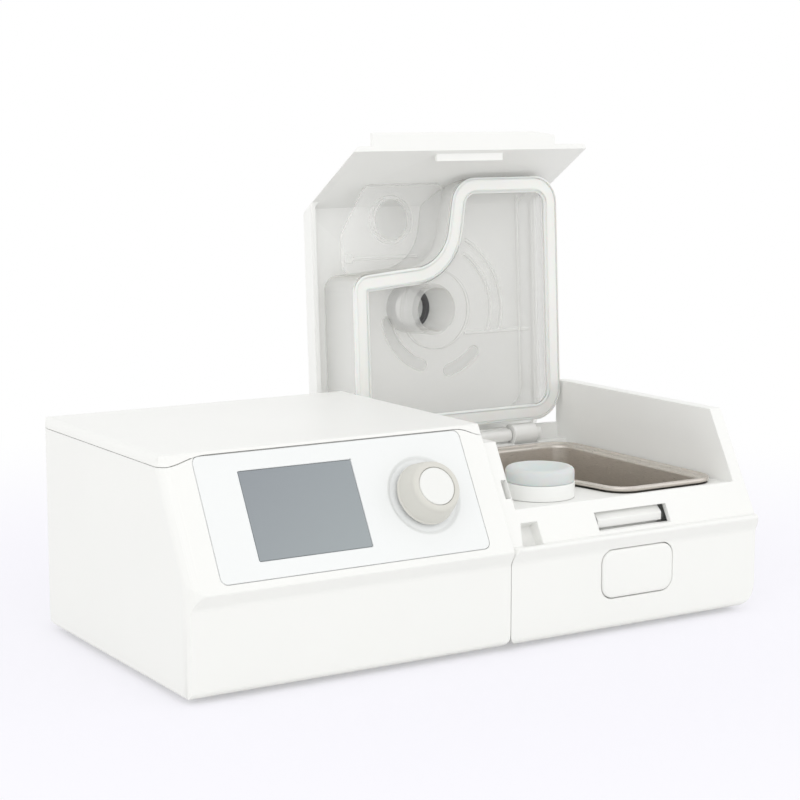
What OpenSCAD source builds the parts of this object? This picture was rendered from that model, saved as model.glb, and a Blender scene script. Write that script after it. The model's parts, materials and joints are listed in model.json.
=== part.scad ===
// Positive airway pressure machine: a main unit with a screen and a knob, and
// beside it a heated humidifier whose deep lid stands open on its back hinge.
// X runs to the right, Y to the back, Z up, and the feet stand on Z = 0.
// Places are written from the main unit's left wall and lower front face, and
// origin_shift() moves everything to the middle of the footprint.

/* [Overall] */
// Width of the main unit
main_w = 152.4; // [150:0.2:170]
// Width of the humidifier
hum_w = 137.2; // [136:0.2:150]
// Depth of both units
depth = 150; // [148:0.5:165]
// Height of the closed top above the floor
top_z = 95.5; // [94.5:0.5:104]
// Gap between the two units
seam_gap = 0.4; // [0.2:0.1:1]
// Height of the feet
foot_h = 1.5; // [1:0.1:2.5]
// Wall of the moulded shells
wall = 2.4; // [2:0.1:2.8]
// Clearance round pieces that fit together
fit_gap = 0.3; // [0.2:0.05:0.4]

/* [Front face] */
// Height of the lip's nose
lip_z = 44; // [43:0.5:46]
// Reach of the lip in front of the lower face
lip_out = 3.2; // [2.5:0.1:4]
// Drop of the hollow under the lip
lip_drop = 6; // [5:0.5:8]
// Tilt of the control face from upright
face_tilt = 29; // [27:0.5:30]

/* [Corners] */
// Radius of the back upright corner
back_corner_r = 12; // [8:0.5:16]
// Radius of the long bottom back edge
heel_r = 18; // [12:0.5:20]
// Radius of the long top back edge
crown_r = 8.5; // [5:0.5:10]
// Radius of the crease beside the control face
crease_r = 5; // [3:0.5:7]

/* [Top cover] */
// Height of the cover's seam on the sides
seam_z = 91; // [88:0.5:92]
// Drop of the cover down the back
wrap_drop = 33; // [20:1:36]

/* [Control face] */
// Left edge of the fascia
fascia_x = 14.7; // [12:0.1:17]
// Margin between the fascia and the main unit's right end
fascia_in = 11.4; // [10.5:0.1:13]
// Lower edge of the fascia, up the slope from the nose
fascia_s = 3.5; // [3:0.1:5]
// Height of the fascia, up the slope
fascia_h = 53.5; // [51:0.1:54]
// Thickness of the fascia
fascia_t = 1.6; // [1.2:0.1:2]
// Width of the screen
screen_w = 52.1; // [46:0.1:56]
// Height of the screen
screen_h = 37.9; // [34:0.1:40]
// Centre of the screen along the face
screen_x = 59.3; // [56:0.1:62]
// Centre of the screen and the knob up the slope
face_mid_s = 30; // [29:0.5:31]
// Distance of the knob's centre from the main unit's right end
knob_in = 36.6; // [34:0.1:39]

/* [Knob] */
// Radius of the knob at its foot
knob_r = 13.6; // [12:0.1:15]
// Radius of the knob at its top
knob_top_r = 10.2; // [9:0.1:11]
// Height of the knob over the fascia
knob_h = 11.4; // [9:0.1:14]
// Radius of the dish round the knob
dish_r = 17.3; // [16.5:0.1:19]
// Travel of the knob when it is pressed
knob_push = 0.8; // [0.5:0.1:0.9]

/* [Humidifier bay] */
// Thickness of the wall beside the main unit
divider_t = 7.7; // [7:0.1:9]
// Thickness of the outer side wall
side_t = 6.5; // [5.5:0.1:7.5]
// Height of the wall beside the main unit
divider_z = 87; // [84:0.5:88]
// Height of the outer side wall
side_z = 91.2; // [89:0.2:91.6]
// Depth of the face behind the lid's panel
panel_recess = 2.9; // [2.8:0.1:3.4]
// Height of the ledge behind the panel
ledge_z = 59.5; // [59:0.1:60]
// Height of the deck round the tank
deck_z = 58.3; // [57.5:0.1:58.8]
// Front of the tank's bay
bay_y = 13.6; // [13.4:0.1:14.4]

/* [Water tank] */
// Height of the tank's rim
rim_z = 61.3; // [61:0.1:61.4]
// Width of the tank's rolled rim
rim_w = 3; // [2.6:0.1:3.4]
// Sheet thickness of the tank
tank_t = 1.2; // [0.8:0.1:1.5]
// Height of the tank's floor
tank_floor_z = 13; // [12.6:0.1:15]

/* [Air port] */
// Outer radius of the port
port_r = 15.7; // [15:0.1:16.2]
// Radius of the air passage
air_r = 11; // [10:0.1:11.4]
// Height of the port's ring
port_z = 65.4; // [64:0.1:66]
// Height of the soft cap on the port
cap_h = 6.6; // [5:0.1:6.8]

/* [Lid] */
// Angle that the lid swings through
lid_swing = 93; // [91:0.5:94]
// Height of the hinge
hinge_z = 65; // [64.5:0.1:65.5]
// Distance from the back to the hinge
hinge_in = 5.5; // [5.4:0.1:5.8]
// Radius of the lid's hinge knuckles
knuckle_r = 5.5; // [5.2:0.1:5.6]
// Radius of the hinge rod
hinge_rod_r = 1.5; // [1.2:0.1:2]
// Width of each knuckle
knuckle_w = 14; // [13:0.5:18]
// Width of the gasket's face
gasket_w = 7.5; // [6:0.1:8]
// Thickness of the gasket
gasket_t = 3; // [2.5:0.1:3.4]
// Reach of the finger flange in front of the lower face
flange_out = 8.5; // [7:0.1:10]

/* [Hose outlet] */
// Outer radius of the hose outlet
outlet_r = 11; // [11:0.1:11.2]
// Length of the hose outlet
outlet_l = 21; // [18:0.5:24]
// Wall of the hose outlet
outlet_t = 1.7; // [1.4:0.1:2]

/* [Release button] */
// Width of the button
button_w = 39.5; // [36:0.1:42]
// Height of the button
button_h = 21.8; // [20:0.1:22.4]
// Centre of the button from the humidifier's left side
button_in = 68.2; // [66:0.1:70]
// Height of the button's centre
button_z = 27.1; // [26.5:0.1:27.5]
// Travel of the button
button_push = 2; // [1.5:0.1:2.2]
// How far the button stands out
button_proud = 0.8; // [0.4:0.1:1.2]

/* [Blower] */
// Outer radius of the blower
blower_r = 40; // [38:0.5:41]
// Height of the blower's housing
blower_h = 32; // [30:0.5:33]
// Radius of the impeller
impeller_r = 30; // [27:0.5:32]
// Radius of the motor
motor_r = 16; // [14:0.5:18]

/* [Hidden] */
$fn = 64;

white = "#f2f1ec";
clear = "#e6e4d2";
steel = "#b9b4aa";
rubber = "#3c3d40";
board = "#2f6b46";
metal = "#8f9296";

eps = 0.01;
// Gap between flat faces that rest on each other
seat = 0.1;
// Radial clearance of a shaft or pin in its bore
run_gap = 0.05;

// The whole machine
hum_x = main_w + seam_gap;
total_w = hum_x + hum_w;
top_y = -lip_out + (top_z - lip_z) * tan(face_tilt);
fascia_w = main_w - fascia_x - fascia_in;
knob_x = main_w - knob_in;
shell_z = foot_h + 0.8;
hinge_y = depth - hinge_in;

// The side view of both units: bottom front, heel, crown, top of the face, nose, under the lip
side_pts = [[0, shell_z], [depth, shell_z], [depth, top_z], [top_y, top_z], [-lip_out, lip_z],
    [0, lip_z - lip_drop]];
side_radii = [3, heel_r, crown_r, 2, 1.2, 6];
// Wall behind the fascia, so that the fascia's recess keeps a full wall
face_wall = wall + fascia_t;

// The base plates
base_in = 6;
base_lap = 2;
base_plug_t = 2.2;
base_top = shell_z + base_plug_t;
base_back = heel_r + 3;
boss_r = 3.6;
boss_h = 10;
screw_r = 1.5;
screw_head_r = 3;

// The cover
cover_y = top_y + wall / cos(face_tilt);
wrap_x = back_corner_r + 4;
// Width over which the front seam climbs beside the fascia's left end
seam_run = 12;

// The bay of the humidifier, its tank and its gasket
bay_gap = 1;
bay_x0 = hum_x + divider_t + bay_gap;
bay_x1 = total_w - side_t - bay_gap;
bay_back = hinge_y - 7.2;
port_x = hum_x + 38.2;
port_y = 33.2;
bay_pts = [[port_x + 30, bay_y], [bay_x1, bay_y], [bay_x1, bay_back], [bay_x0, bay_back],
    [bay_x0, port_y + 26.8], [port_x + 23, port_y + 22.8]];
bay_radii = [14, 14, 16, 14, 8, 22];
rim_in = 1.5;
rim_h = rim_z - deck_z - fit_gap;
well_in = rim_in + rim_w - tank_t - 1;
well_floor_z = tank_floor_z - 4.3;
heater_in = well_in + 9;
heater_board_y = bay_back - 68;
gasket_z = rim_z + fit_gap;
back_deck_z = rim_z - 0.3;
well_wall = 1.8;

// The hinge
knuckle_x = [bay_x0 + 3.5, bay_x1 - knuckle_w - 16];
knuckle_gap = 0.5;
barrel_r = 3.2;
fence_z = hinge_z + 3.8;
lid_back_z = hinge_z + 6.2;
lid_x0 = hum_x + fit_gap;
lid_x1 = total_w - fit_gap;
lid_side_gap = 0.3;

// The latch
button_x = hum_x + button_in;
catch_w = 40;
catch_z0 = lip_z + 2.5;
catch_z1 = lip_z + 10.2;
panel_z = lip_z + 1.5;
hook_z = lip_z + 4;
hook_y = 5.6;
button_t = 2.8;
slider_y = wall + fit_gap + 1.5 + seat;
slider_t = 2;
slider_back = 12;

// The lid's air passages
duct_plate_z = gasket_z + gasket_t + 1.5;
corner_plate_z = port_z + cap_h + 0.4;
duct_top_z = top_z - wall - seat;
outlet_x = hum_x + 57.5;
outlet_y = 78.2;
outlet_flange_r = 16;
outlet_flange_t = 2;

// The blower
blower_x = main_w - 90.4;
blower_y = 60;
blower_z = 10;
duct_y = blower_y - blower_r + 13;
duct_z = blower_z + 15.5;
duct_r = air_r + 1.6;
motor_z = blower_z + wall;
motor_h = 13;
impeller_z = motor_z + motor_h + 1.2;
impeller_h = 11;
shaft_r = 1.5;

// The air filter at the back
filter_x = 44;
filter_z = 41;
filter_w = 40;
filter_h = 30;
filter_y = depth - 21.8;
foam_y = blower_y + blower_r + 6;

// Everything stands with the middle of the open machine's footprint at the origin
outlet_tip_z = top_z + outlet_flange_t + outlet_l - hinge_z;
outlet_reach = (hinge_y - outlet_y + outlet_r) * -cos(lid_swing)
    + outlet_tip_z * sin(lid_swing);
back_reach = hinge_y + outlet_reach;
// The knob's rim reaches a little further forward than the lip
front_reach = -lip_out + (face_mid_s - knob_top_r) * sin(face_tilt)
    - (knob_h - 0.2) * cos(face_tilt);
module origin_shift() {
    translate([-total_w / 2, -(back_reach + front_reach) / 2, 0]) children();
}

// ---- Outlines with round corners ----

function unit_of(v) = v / norm(v);
function turn_of(u, v) = u[0] * v[1] - u[1] * v[0];
// Corner i of a closed anticlockwise outline, moved inwards by d
function inset_corner(p, i, d) =
    let (n = len(p), b = p[i], u = unit_of(b - p[(i + n - 1) % n]), v = unit_of(p[(i + 1) % n] - b),
        nu = [-u[1], u[0]], nv = [-v[1], v[0]])
    b + d * (nu + nv) / (1 + nu * nv);
// Radius of that corner after the move: a hollow corner grows, a proud one shrinks
function inset_radius(p, i, r, d) =
    let (n = len(p), u = p[i] - p[(i + n - 1) % n], v = p[(i + 1) % n] - p[i])
    r == 0 ? 0 : turn_of(u, v) > 0 ? max(r - d, 0) : r + d;
// Points of the arc that rounds corner b between a and c
function arc_points(a, b, c, r, steps = 8) =
    let (u = unit_of(a - b), v = unit_of(c - b), half = acos(u * v) / 2, reach = r / tan(half),
        mid = b + unit_of(u + v) * r / sin(half), from = b + u * reach - mid,
        start = atan2(from[1], from[0]), sweep = (180 - 2 * half) * sign(turn_of(b - a, c - b)))
    r < eps ? [b]
    : [for (k = [0 : steps]) mid + r * [cos(start + sweep * k / steps), sin(start + sweep * k / steps)]];
function outline_points(p, r, d = 0) =
    let (n = len(p), q = [for (i = [0 : n - 1]) inset_corner(p, i, d)],
        rr = [for (i = [0 : n - 1]) inset_radius(p, i, r[i], d)])
    [for (i = [0 : n - 1]) each arc_points(q[(i + n - 1) % n], q[i], q[(i + 1) % n], rr[i])];
module outline(p, r, d = 0) {
    polygon(outline_points(p, r, d));
}
// A rectangle from two corners, with one radius
module plate_2d(x0, y0, x1, y1, r = 0) {
    outline([[x0, y0], [x1, y0], [x1, y1], [x0, y1]], [r, r, r, r]);
}

// ---- Placing outlines and pieces ----

// A side view (Y, Z) drawn out from x0 to x1
module along_x(x0, x1) {
    translate([x0, 0, 0]) rotate([90, 0, 90]) linear_extrude(x1 - x0) children();
}
// A front view (X, Z) drawn out from y0 to y1
module along_y(y0, y1) {
    translate([0, y1, 0]) rotate([90, 0, 0]) linear_extrude(y1 - y0) children();
}
// A plan (X, Y) drawn out from z0 to z1
module along_z(z0, z1) {
    translate([0, 0, z0]) linear_extrude(z1 - z0) children();
}
// Local Y runs up the sloping face from the nose, and local Z stands out of it
module on_face() {
    translate([0, -lip_out, lip_z]) rotate([90 - face_tilt, 0, 0]) children();
}
// Depth of the sloping face, or of a plane n behind it, at height z
function face_y(z, n = 0) = -lip_out + (z - lip_z) * tan(face_tilt) + n / cos(face_tilt);
// The knob's axis, standing out of the fascia
module on_knob() {
    on_face() translate([knob_x, face_mid_s, 0]) children();
}
// The lid is drawn shut and stands open
module opened() {
    translate([0, hinge_y, hinge_z]) rotate([-lid_swing, 0, 0]) translate([0, -hinge_y, -hinge_z])
        children();
}
module ring(r_out, r_in, h) {
    difference() {
        cylinder(r = r_out, h = h);
        translate([0, 0, -1]) cylinder(r = r_in, h = h + 2);
    }
}
module bar(x0, y0, z0, x1, y1, z1) {
    translate([x0, y0, z0]) cube([x1 - x0, y1 - y0, z1 - z0]);
}
// Round wire wound into a spring that stands on z = 0
module spring(r, wire_r, height, turns) {
    ring_n = 8 * turns;
    pitch = (height - 2 * wire_r) / ring_n;
    points = [for (i = [0 : ring_n]) for (k = [0 : 5])
        let (a = 45 * i, w = r + wire_r * cos(60 * k))
        [w * cos(a), w * sin(a), wire_r + pitch * i + wire_r * sin(60 * k)]];
    sides = [for (i = [0 : ring_n - 1]) for (k = [0 : 5]) each [
        [6 * i + k, 6 * i + (k + 1) % 6, 6 * i + 6 + (k + 1) % 6],
        [6 * i + k, 6 * i + 6 + (k + 1) % 6, 6 * i + 6 + k]]];
    start = [for (k = [1 : 4]) [0, k + 1, k]];
    end = [for (k = [1 : 4]) [6 * ring_n, 6 * ring_n + k, 6 * ring_n + k + 1]];
    polyhedron(points, concat(sides, start, end));
}

// ---- The outer form that both units share ----

// plan_r: front left, front right, back right, back left; front_r: bottom left, bottom right,
// top right, top left; d is how far every face moves in, and face_d moves the sloping face more
module unit_form(x0, x1, plan_r, front_r, d = 0, face_d = 0) {
    intersection() {
        along_x(x0, x1) outline(side_pts, side_radii, d);
        along_z(0, top_z + 1)
            outline([[x0, -lip_out], [x1, -lip_out], [x1, depth], [x0, depth]], plan_r, d);
        along_y(-2 * lip_out, depth + 1)
            outline([[x0, shell_z], [x1, shell_z], [x1, top_z], [x0, top_z]], front_r, d);
        on_face() along_y(-2 * lip_z, 2 * top_z)
            outline([[x0, -2 * depth], [x1, -2 * depth], [x1, -face_d], [x0, -face_d]],
                [0, 0, front_r[2], crease_r], d);
    }
}
module main_form(d = 0, face_d = 0) {
    unit_form(0, main_w, [8, 1, 2, back_corner_r], [2, 5, 0.6, 4], d, face_d);
}
module hum_form(x0, x1, d = 0, face_d = 0) {
    unit_form(x0, x1, [1, 2.5, back_corner_r, 2], [4, 10, 2.5, 0.6], d, face_d);
}

// ---- Main unit: shells ----

// The space that the cover takes, with its S-shaped seam beside the fascia
module cover_zone(g = 0) {
    rise = lip_z + (fascia_s + fascia_h + 0.4) * cos(face_tilt);
    left = fascia_x - 9.2;
    right = fascia_x + fascia_w + 9.7;
    bar(-1, cover_y, seam_z - g, main_w + 1, depth + 1, top_z + 1);
    translate([0, 0, -g]) along_y(-2 * lip_out, cover_y + eps)
        outline([[-8, seam_z], [left, seam_z], [left + seam_run, rise], [right - 8, rise],
            [right, seam_z], [main_w + 8, seam_z], [main_w + 8, top_z + 2], [-8, top_z + 2]],
            [0, 30, 30, 15, 15, 0, 0, 0]);
    bar(wrap_x - g, depth - wall - 1, seam_z - wrap_drop - g, main_w - wrap_x + g, depth + 1, seam_z);
}
module base_hole(x0, x1, g = 0) {
    bar(x0 + base_in + base_lap - g, base_in + base_lap - g, shell_z - 1,
        x1 - base_in - base_lap + g, depth - base_back - base_lap + g, shell_z + wall + eps);
}
boss_in = base_in + 6;
main_bosses = [for (x = [boss_in, main_w - boss_in]) for (y = [boss_in, depth - base_back - 6]) [x, y]];
// The tank's well fills the back, so the third one stands behind the air port
hum_bosses = [[hum_x + boss_in, boss_in], [total_w - boss_in, boss_in], [hum_x + boss_in, port_y + 19]];
// Bosses that take the base screws, tied to the side walls
module bosses(x0, x1, places) {
    for (p = places) {
        side = p[0] < (x0 + x1) / 2 ? x0 + wall - eps : x1 - wall + eps;
        difference() {
            union() {
                translate([p[0], p[1], base_top + seat]) cylinder(r = boss_r, h = boss_h);
                bar(min(side, p[0]), p[1] - 1, base_top + 1, max(side, p[0]), p[1] + 1,
                    base_top + boss_h);
            }
            translate([p[0], p[1], base_top]) cylinder(r = screw_r, h = boss_h + 1);
        }
    }
}
module fascia_2d(d = 0) {
    x1 = fascia_x + fascia_w;
    s1 = fascia_s + fascia_h;
    outline([[fascia_x, fascia_s], [x1, fascia_s], [x1, s1], [fascia_x, s1]], [3, 3, 3, 3], d);
}
module screen_2d(d = 0) {
    outline([[screen_x - screen_w / 2, face_mid_s - screen_h / 2],
        [screen_x + screen_w / 2, face_mid_s - screen_h / 2],
        [screen_x + screen_w / 2, face_mid_s + screen_h / 2],
        [screen_x - screen_w / 2, face_mid_s + screen_h / 2]], [0.5, 0.5, 0.5, 0.5], d);
}
encoder_hole_r = 7;
module filter_hole(y0, y1, g = 0) {
    along_y(y0, y1) plate_2d(filter_x - filter_w / 2 - g, filter_z - filter_h / 2 - g,
        filter_x + filter_w / 2 + g, filter_z + filter_h / 2 + g, 2);
}
jack_x = main_w - 26.4;
jack_z = 24;
jack_w = 12;

module main_housing() color(white) {
    difference() {
        main_form();
        cover_zone(fit_gap);
        main_form(wall, fascia_t);
        base_hole(0, main_w);
        // The fascia's recess, the screen's window and the knob's hole
        on_face() along_z(-fascia_t - seat, 4) fascia_2d(-0.2);
        on_face() along_z(-12, 1) screen_2d(1.5);
        on_knob() translate([0, 0, -12]) cylinder(r = encoder_hole_r, h = 13);
        // The way out for the air, the filter's door and the power inlet at the back
        translate([main_w - wall - 1, duct_y, duct_z]) rotate([0, 90, 0])
            cylinder(r = duct_r + 1, h = wall + 2);
        filter_hole(depth - wall - 1, depth + 1);
        along_y(depth - wall - 1, depth + 1)
            plate_2d(jack_x - jack_w / 2, jack_z - jack_w / 2, jack_x + jack_w / 2,
                jack_z + jack_w / 2, 1);
    }
    bosses(0, main_w, main_bosses);
}

module base_plate(x0, x1, places) {
    difference() {
        union() {
            bar(x0 + base_in, base_in, foot_h, x1 - base_in, depth - base_back, shell_z - seat);
            base_hole_plug(x0, x1);
        }
        for (p = places) translate([p[0], p[1], 0]) {
            translate([0, 0, -1]) cylinder(r = screw_r + run_gap, h = base_top + 2);
            cylinder(r = screw_head_r + fit_gap, h = foot_h + 1.6);
        }
    }
}
module base_hole_plug(x0, x1) {
    bar(x0 + base_in + base_lap + fit_gap, base_in + base_lap + fit_gap, foot_h,
        x1 - base_in - base_lap - fit_gap, depth - base_back - base_lap - fit_gap, base_top);
}
function mount_places() = [[blower_x - 26, blower_y - 20], [blower_x + 26, blower_y - 20],
    [blower_x, blower_y + 31]];
board_x0 = main_w - 48.4;
board_y0 = 66;
board_x1 = main_w - 18.4;
board_y1 = depth - base_back - base_lap - 1;
board_z = 9;
module main_base() color(white) {
    difference() {
        union() {
            base_plate(0, main_w, main_bosses);
            // Pillars for the power board
            for (x = [board_x0 + 4, board_x1 - 4], y = [board_y0 + 4, board_y1 - 5])
                translate([x, y, base_top - eps]) cylinder(r = 3, h = board_z - seat - base_top);
            // Sockets for the blower's soft mounts
            for (p = mount_places())
                translate([p[0], p[1], base_top - eps]) ring(7, 5 + seat, 2);
        }
        // Slots that let air in from below
        for (k = [0 : 5])
            along_z(-1, base_top + 1)
                plate_2d(30 + 11 * k, depth - 50, 34 + 11 * k, depth - 34, 1.9);
    }
}
foot_r = 6;
module feet(x0, x1) {
    for (x = [x0 + 24, x1 - 24], y = [17, depth - base_back - 9])
        translate([x, y, 0]) {
            cylinder(r = foot_r, h = foot_h - seat);
            cylinder(r = foot_r - 1.5, h = foot_h - seat);
        }
}
module main_feet() color(rubber) feet(0, main_w);
module screws(places) {
    for (p = places) translate([p[0], p[1], foot_h + 0.4]) {
        difference() {
            cylinder(r = screw_head_r, h = 1.1);
            translate([0, 0, -1]) cylinder(r = 1.2, h = 1.6, $fn = 6);
        }
        translate([0, 0, 1.1 - eps]) cylinder(r = screw_r, h = base_top + boss_h - foot_h - 3);
    }
}
module main_screws() color(metal) screws(main_bosses);

module top_cover() color(white) {
    difference() {
        intersection() {
            main_form();
            cover_zone();
        }
        main_form(wall, fascia_t);
        // Finger notch at the foot of the back
        translate([main_w / 2, depth + 1, seam_z - wrap_drop]) rotate([90, 0, 0])
            cylinder(r = 9, h = wall + 2);
    }
    // Snap tabs inside the side walls
    for (y = [50, 90, depth - 25]) {
        bar(wall + fit_gap, y - 6, seam_z - 5, 2 * wall + fit_gap, y + 6, top_z - wall + eps);
        bar(main_w - 2 * wall - fit_gap, y - 6, seam_z - 5, main_w - wall - fit_gap, y + 6,
            top_z - wall + eps);
    }
}

module fascia_panel() color("#e9eceb") on_face() {
    difference() {
        along_z(-fascia_t, 0) fascia_2d();
        along_z(-fascia_t - 1, 1) screen_2d(-0.15);
        translate([knob_x, face_mid_s, 0]) {
            translate([0, 0, -fascia_t - 1]) cylinder(r = encoder_hole_r, h = fascia_t + 2);
            translate([0, 0, -0.9]) cylinder(r1 = dish_r - 1.4, r2 = dish_r, h = 0.9 + eps);
        }
    }
}
module display_window() color("#b9bfc2") on_face() {
    along_z(-fascia_t + 0.2, -0.15) screen_2d();
}
module display_module() color("#44484c") on_face() {
    along_z(-5.5, -fascia_t) screen_2d(1.8);
    along_z(-7.5, -5.5 + eps) screen_2d(-0.5);
}
pcb_n = 11;
pcb_t = 1.6;
module control_board() color(board) on_face() {
    difference() {
        union() {
            along_z(-pcb_n - pcb_t, -pcb_n) plate_2d(fascia_x + 11.3, fascia_s + 1.5,
                fascia_x + fascia_w - 7, fascia_s + fascia_h - 3, 2);
            // Connector, two chips and a row of capacitors on the back
            along_z(-pcb_n - pcb_t - 3, -pcb_n - pcb_t + eps)
                plate_2d(knob_x - 32, fascia_s + 6.5, knob_x - 16, fascia_s + 12.5);
            for (x = [screen_x - 13, screen_x + 7]) along_z(-pcb_n - pcb_t - 1.2, -pcb_n - pcb_t + eps)
                plate_2d(x, face_mid_s - 2, x + 10, face_mid_s + 8);
            for (k = [0 : 5]) translate([screen_x - 23 + 8 * k, fascia_s + 12.5, -pcb_n - pcb_t - 4])
                cylinder(r = 2, h = 4 + eps);
        }
        translate([knob_x, face_mid_s, -pcb_n - pcb_t - 1]) cylinder(r = 4.6, h = pcb_t + 2);
    }
    // Posts that carry the screen's frame
    for (x = [screen_x - 20, screen_x + 20], s = [face_mid_s - 14, face_mid_s + 14])
        translate([x, s, -pcb_n - eps]) cylinder(r = 2, h = pcb_n - 7.5 - seat);
}
plunger_r = 3.5;
plunger_bore = 2;
plunger_top = 0.6;
module encoder_body() color(metal) on_knob() {
    difference() {
        union() {
            along_z(-pcb_n + seat, -fascia_t - wall - 1) plate_2d(-7, -7, 7, 7, 1);
            translate([0, 0, -pcb_n - pcb_t - 1]) cylinder(r = 4.5, h = 5);
            translate([0, 0, -fascia_t - wall - 1 - eps])
                cylinder(r = 5, h = fascia_t + wall + 0.2);
        }
        translate([0, 0, -pcb_n - pcb_t + 0.5]) cylinder(r = plunger_r + run_gap, h = 30);
    }
}
module encoder_plunger() color(steel) on_knob() {
    translate([0, 0, -pcb_n + 0.6]) ring(plunger_r, plunger_bore + run_gap, pcb_n - 0.6 + plunger_top);
}
knob_floor = 1;
module knob_shaft() color(metal) on_knob() {
    translate([0, 0, -pcb_n + 1.2]) cylinder(r = plunger_bore, h = pcb_n - 1.2 + knob_h - 2);
}
// The knob: a tapered skirt on a thin foot, with a sunken ring round its cap
module knob() color("#dcdbcf") on_knob() {
    foot = knob_push + 0.15;
    rotate_extrude($fn = 96) polygon([[plunger_bore + run_gap, foot + 0.1],
        [4.5, foot + 0.1], [4.5, knob_h - 4], [knob_r - 3, knob_h - 4.6], [knob_r - 1.8, foot],
        [knob_r - 0.2, foot], [knob_r, foot + 0.3], [knob_r, foot + 0.8], [knob_r - 0.5, foot + 1.2],
        [knob_top_r + 1.1, knob_h - 1.6], [knob_top_r + 0.7, knob_h - 0.7],
        [knob_top_r, knob_h - 0.2], [knob_top_r - 0.8, knob_h], [8.4, knob_h - 0.5],
        [8.4, knob_h - 1.6], [plunger_bore + run_gap, knob_h - 1.6]]);
}
module knob_cap() color("#f1f2ee") on_knob() {
    translate([0, 0, knob_h - 1.5]) rotate_extrude($fn = 96)
        polygon([[0, 0], [8.2, 0], [8.2, 0.9], [7.6, 1.4], [0, 1.6]]);
}

// ---- Main unit: blower, filter and power ----

module blower_2d(r, d) {
    circle(r = r, $fn = 96);
    polygon([[0, -blower_r + d], [blower_r + 12, -blower_r + d], [blower_r + 12, -blower_r + 26 - d],
        [0, -blower_r + 26 - d]]);
}
module at_blower() {
    translate([blower_x, blower_y, 0]) children();
}
module blower_housing() color("#d9d9d4") {
    difference() {
        at_blower() along_z(blower_z, blower_z + blower_h) blower_2d(blower_r, 0);
        at_blower() along_z(blower_z + wall, blower_z + blower_h + 1) blower_2d(blower_r - wall, wall);
        translate([blower_x + blower_r, duct_y, duct_z]) rotate([0, 90, 0])
            cylinder(r = air_r, h = 20);
    }
    // Seat that centres the motor
    at_blower() translate([0, 0, blower_z + wall - eps]) ring(motor_r + 2, motor_r + seat, 5);
    for (p = mount_places()) translate([p[0], p[1], blower_z - 3]) cylinder(r = 2, h = 3 + eps);
}
module blower_cover() color("#d9d9d4") at_blower() {
    difference() {
        along_z(blower_z + blower_h + seat, blower_z + blower_h + 3) blower_2d(blower_r, 0);
        translate([0, 0, blower_z]) cylinder(r = 15, h = blower_h + 5);
    }
    translate([0, 0, blower_z + blower_h + 3 - eps]) ring(17, 15, 5);
}
module blower_mounts() color(rubber) {
    for (p = mount_places()) translate([p[0], p[1], base_top + seat])
        ring(5, 2 + seat, blower_z - base_top - 2 * seat);
}
module motor() color(metal) at_blower() {
    difference() {
        translate([0, 0, motor_z + seat]) union() {
            cylinder(r = motor_r, h = motor_h - 3);
            cylinder(r = motor_r - 3, h = motor_h);
        }
        translate([0, 0, motor_z + 3]) cylinder(r = shaft_r + run_gap, h = motor_h);
    }
}
module motor_shaft() color(steel) at_blower() {
    translate([0, 0, motor_z + 3.4]) cylinder(r = shaft_r, h = motor_h + impeller_h - 4);
}
// The impeller: a disc with a hub and straight blades that lean backwards
module impeller() color("#e4e4df") at_blower() {
    blade_count = 11;
    difference() {
        translate([0, 0, impeller_z]) union() {
            cylinder(r = impeller_r, h = 1.5);
            cylinder(r = 5, h = impeller_h - 1);
            for (k = [0 : blade_count - 1]) rotate([0, 0, 360 * k / blade_count])
                translate([12, 0, 1]) rotate([0, 0, -38]) cube([impeller_r - 14.5, 1.2, impeller_h - 1]);
        }
        translate([0, 0, impeller_z - 1]) cylinder(r = shaft_r, h = impeller_h + 2);
    }
}
module outlet_duct() color("#d9d9d4") {
    x0 = blower_x + blower_r + 12 + seat;
    translate([x0, duct_y, duct_z]) rotate([0, 90, 0]) ring(duct_r, air_r, main_w - x0 - 0.2);
    translate([x0, duct_y, duct_z]) rotate([0, 90, 0]) ring(duct_r + 1.8, duct_r - eps, 3);
}
module silencer_foam() color("#55575c") {
    difference() {
        bar(18, foam_y, base_top + 3, blower_x + 36, filter_y - 0.2, 66);
        translate([filter_x, foam_y - 1, filter_z]) rotate([-90, 0, 0]) cylinder(r = 12, h = 30);
    }
}
module filter_frame() color("#d9d9d4") {
    difference() {
        filter_hole(filter_y, depth - wall - seat, 2.4);
        filter_hole(filter_y + 2.8, depth, 0.4);
        filter_hole(filter_y - 8, depth, -3);
    }
}
module air_filter() color("#e8e6dc") {
    difference() {
        filter_hole(depth - wall - 12, depth - wall - 2, -0.4);
        // Pleats open towards the back
        for (k = [0 : 11])
            bar(filter_x - filter_w / 2 + 3 + 3 * k, depth - wall - 10, filter_z - filter_h / 2 + 2,
                filter_x - filter_w / 2 + 4.4 + 3 * k, depth, filter_z + filter_h / 2 - 2);
    }
}
module filter_cap() color(white) {
    difference() {
        filter_hole(depth - wall - 2, depth, -fit_gap);
        filter_hole(depth - wall - 3, depth - wall, -2);
        for (k = [0 : 4])
            along_y(depth - wall - 3, depth + 1)
                plate_2d(filter_x - 15, filter_z - 10 + 5 * k - 1.2, filter_x + 15,
                    filter_z - 10 + 5 * k + 1.2, 1.1);
    }
}
module power_board() color(board) {
    bar(board_x0, board_y0, board_z, board_x1, board_y1, board_z + pcb_t);
    // Two capacitors, a transformer and a heat sink
    for (x = [board_x0 + 7, board_x0 + 18]) translate([x, board_y0 + 12, board_z + pcb_t - eps])
        cylinder(r = 5, h = 14);
    bar(board_x0 + 4, board_y1 - 34, board_z + pcb_t - eps, board_x0 + 20, board_y1 - 20,
        board_z + pcb_t + 10);
    bar(board_x1 - 5, board_y0 + 6, board_z + pcb_t - eps, board_x1 - 2, board_y1 - 18,
        board_z + pcb_t + 18);
}
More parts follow.
